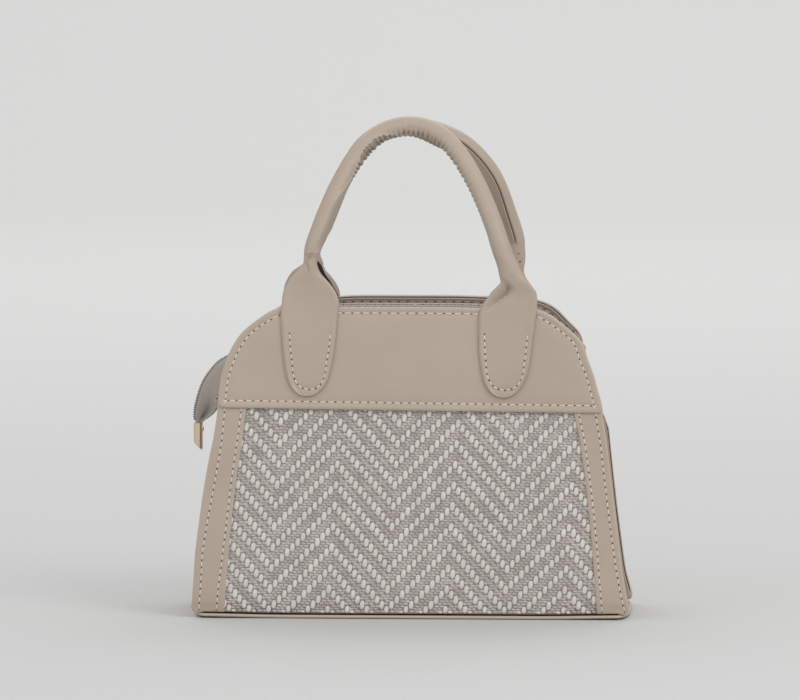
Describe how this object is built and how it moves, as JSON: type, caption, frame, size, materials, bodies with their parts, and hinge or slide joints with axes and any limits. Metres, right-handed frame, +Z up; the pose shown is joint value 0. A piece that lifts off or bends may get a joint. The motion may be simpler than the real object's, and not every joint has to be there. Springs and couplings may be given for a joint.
{
  "type": "handbag",
  "caption": "Small structured handbag with a woven face panel, rolled top handles and a domed zip top that opens between two leather facings.",
  "frame": {"origin": "on the ground under the middle of the base", "axes": "+Z up, +X to the right seen from the front, the front face looks towards -Y"},
  "size_m": [0.2411, 0.0908, 0.2748],
  "materials": {
    "taupe_leather": "smooth satin coated leather, fine grain",
    "woven_fabric": "chevron weave of off-white floats on a grey-taupe ground",
    "grey_board": "matt stiffening board",
    "lining_cloth": "plain woven lining",
    "zip_cloth": "twill zip tape",
    "zip_nylon": "satin nylon coil",
    "pale_gold": "polished pale gold plate",
    "handle_cord": "matt twisted cord"
  },
  "bodies": {
    "bag": {"base_panel": "taupe_leather", "base_board": "grey_board", "front_backing": "grey_board", "rear_backing": "grey_board", "front_woven_panel": "woven_fabric", "rear_woven_panel": "woven_fabric", "front_side_band_left": "taupe_leather", "front_side_band_right": "taupe_leather", "rear_side_band_left": "taupe_leather", "rear_side_band_right": "taupe_leather", "front_yoke": "taupe_leather", "rear_yoke": "taupe_leather", "side_gusset_left": "taupe_leather", "side_gusset_right": "taupe_leather", "front_zip_facing": "taupe_leather", "rear_zip_facing": "taupe_leather", "zip_tape_left": "zip_cloth", "zip_tape_right": "zip_cloth", "zip_teeth_left": "zip_nylon", "zip_teeth_right": "zip_nylon", "lining": "lining_cloth", "strap_loop_left": "taupe_leather", "strap_loop_right": "taupe_leather", "front_handle_tab_left": "taupe_leather", "front_handle_tab_right": "taupe_leather", "rear_handle_tab_left": "taupe_leather", "rear_handle_tab_right": "taupe_leather"},
    "front_handle": {"front_handle_grip": "taupe_leather", "front_handle_core": "handle_cord"},
    "rear_handle": {"rear_handle_grip": "taupe_leather", "rear_handle_core": "handle_cord"},
    "front_flap": {"front_mouth_flap": "taupe_leather", "front_flap_tape": "zip_cloth", "front_flap_teeth": "zip_nylon"},
    "rear_flap": {"rear_mouth_flap": "taupe_leather", "rear_flap_tape": "zip_cloth", "rear_flap_teeth": "zip_nylon"},
    "slider": {"zip_slider": "pale_gold"},
    "pull": {"zip_pull": "pale_gold"},
    "tail": {"zip_tail": "zip_cloth", "zip_end_clip": "pale_gold"}
  },
  "joints": [
    {"name": "front_handle_swing", "type": "hinge", "parent": "bag", "child": "front_handle", "pos_m": [0, -0.03871, 0.1943], "axis": [1, 0, 0], "range_deg": [0, 170]},
    {"name": "rear_handle_swing", "type": "hinge", "parent": "bag", "child": "rear_handle", "pos_m": [0, 0.03871, 0.1943], "axis": [-1, 0, 0], "range_deg": [0, 170]},
    {"name": "front_flap_spread", "type": "hinge", "parent": "bag", "child": "front_flap", "pos_m": [0, -0.02852, 0.1655], "axis": [1, 0, 0], "range_deg": [0, 65]},
    {"name": "rear_flap_spread", "type": "hinge", "parent": "bag", "child": "rear_flap", "pos_m": [0, 0.02852, 0.1655], "axis": [-1, 0, 0], "range_deg": [0, 65]},
    {"name": "zip_slide", "type": "slide", "parent": "bag", "child": "slider", "axis": [-1, 0, 0], "range_m": [0, 0.122]},
    {"name": "pull_swing", "type": "hinge", "parent": "slider", "child": "pull", "pos_m": [0.061, 0, 0.1721], "axis": [1, 0, 0], "range_deg": [0, 180]},
    {"name": "tail_swing", "type": "hinge", "parent": "bag", "child": "tail", "pos_m": [-0.09087, 0, 0.15109], "axis": [0, 1, 0], "range_deg": [0, 70]}
  ],
  "couplings": [
    {"joint": "rear_flap_spread", "follows": "front_flap_spread", "ratio": 1}
  ]
}
